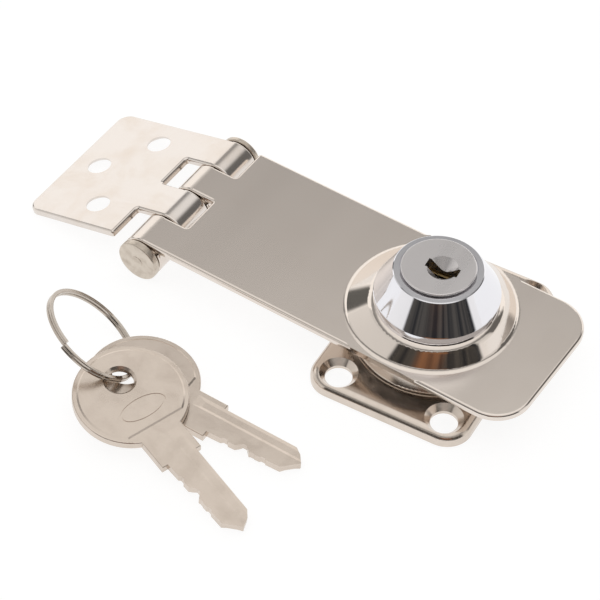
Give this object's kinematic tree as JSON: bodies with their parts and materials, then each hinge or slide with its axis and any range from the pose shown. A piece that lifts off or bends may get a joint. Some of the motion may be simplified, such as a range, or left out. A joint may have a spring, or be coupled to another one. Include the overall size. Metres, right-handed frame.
{
  "type": "hasp and staple",
  "caption": "Hinged steel hasp with a built-in keyed cylinder lock, its screw-on staple plate, and keys on a split ring.",
  "frame": {"origin": "on the mounting plane, under the axis of the lock", "axes": "+X along the arm to its free end, +Z away from the door, the keys lie on the -Y side"},
  "size_m": [0.1293, 0.0957, 0.025],
  "materials": {
    "stainless_sheet": "satin, fine grain",
    "pin_steel": "satin, turned",
    "lock_chrome": "polished",
    "plug_face": "satin chrome on the face, plain inside",
    "wafer_brass": "stamped",
    "spring_steel": "plain",
    "zinc_steel": "zinc plated",
    "key_nickel": "nickel plated, satin",
    "ring_steel": "plated"
  },
  "bodies": {
    "staple": {"staple_plate": "stainless_sheet"},
    "arm": {"hasp_arm": "stainless_sheet", "hinge_pin": "pin_steel", "pin_end_cap": "pin_steel", "lock_housing": "lock_chrome", "star_washer": "zinc_steel", "lock_nut": "zinc_steel"},
    "leaf": {"hinge_leaf": "stainless_sheet"},
    "plug": {"lock_plug": "plug_face", "locking_cam": "zinc_steel", "cam_washer": "zinc_steel", "cam_screw": "zinc_steel", "plug_clip": "spring_steel", "wafer_springs": "spring_steel"},
    "tumbler_1": {"wafer_1": "wafer_brass"},
    "tumbler_2": {"wafer_2": "wafer_brass"},
    "tumbler_3": {"wafer_3": "wafer_brass"},
    "tumbler_4": {"wafer_4": "wafer_brass"},
    "tumbler_5": {"wafer_5": "wafer_brass"},
    "ring": {"split_ring": "ring_steel"},
    "front_key": {"key_front": "key_nickel"},
    "back_key": {"key_back": "key_nickel"}
  },
  "joints": [
    {"name": "arm_swing", "type": "hinge", "parent": "staple", "child": "arm", "pos_m": [-0.0658, 0, 0.0051], "axis": [0, -1, 0], "range_deg": [0, 165]},
    {"name": "leaf_swing", "type": "hinge", "parent": "arm", "child": "leaf", "pos_m": [-0.0658, 0, 0.0051], "axis": [0, -1, 0], "range_deg": [-112, 165.15]},
    {"name": "plug_turn", "type": "hinge", "parent": "arm", "child": "plug", "pos_m": [0, 0, 0.025], "axis": [0, 0, 1], "range_deg": [0, 90]},
    {"name": "tumbler_1_slide", "type": "slide", "parent": "plug", "child": "tumbler_1", "axis": [0.9945, 0.1045, 0], "range_m": [0, 0.0008]},
    {"name": "tumbler_2_slide", "type": "slide", "parent": "plug", "child": "tumbler_2", "axis": [-0.9945, -0.1045, 0], "range_m": [0, 0.0008]},
    {"name": "tumbler_3_slide", "type": "slide", "parent": "plug", "child": "tumbler_3", "axis": [0.9945, 0.1045, 0], "range_m": [0, 0.0008]},
    {"name": "tumbler_4_slide", "type": "slide", "parent": "plug", "child": "tumbler_4", "axis": [-0.9945, -0.1045, 0], "range_m": [0, 0.0008]},
    {"name": "tumbler_5_slide", "type": "slide", "parent": "plug", "child": "tumbler_5", "axis": [0.9945, 0.1045, 0], "range_m": [0, 0.0008]},
    {"name": "keys_lift", "type": "slide", "parent": "staple", "child": "ring", "axis": [0, 0, 1], "range_m": [0, 0.05]},
    {"name": "front_key_round_ring", "type": "hinge", "parent": "ring", "child": "front_key", "pos_m": [-0.05854, -0.0468, 0.00907], "axis": [0.4446, 0.5198, 0.7295], "range_deg": [-20, 0]},
    {"name": "back_key_round_ring", "type": "hinge", "parent": "ring", "child": "back_key", "pos_m": [-0.05854, -0.0468, 0.00907], "axis": [0.4446, 0.5198, 0.7295], "range_deg": [0, 8]}
  ]
}
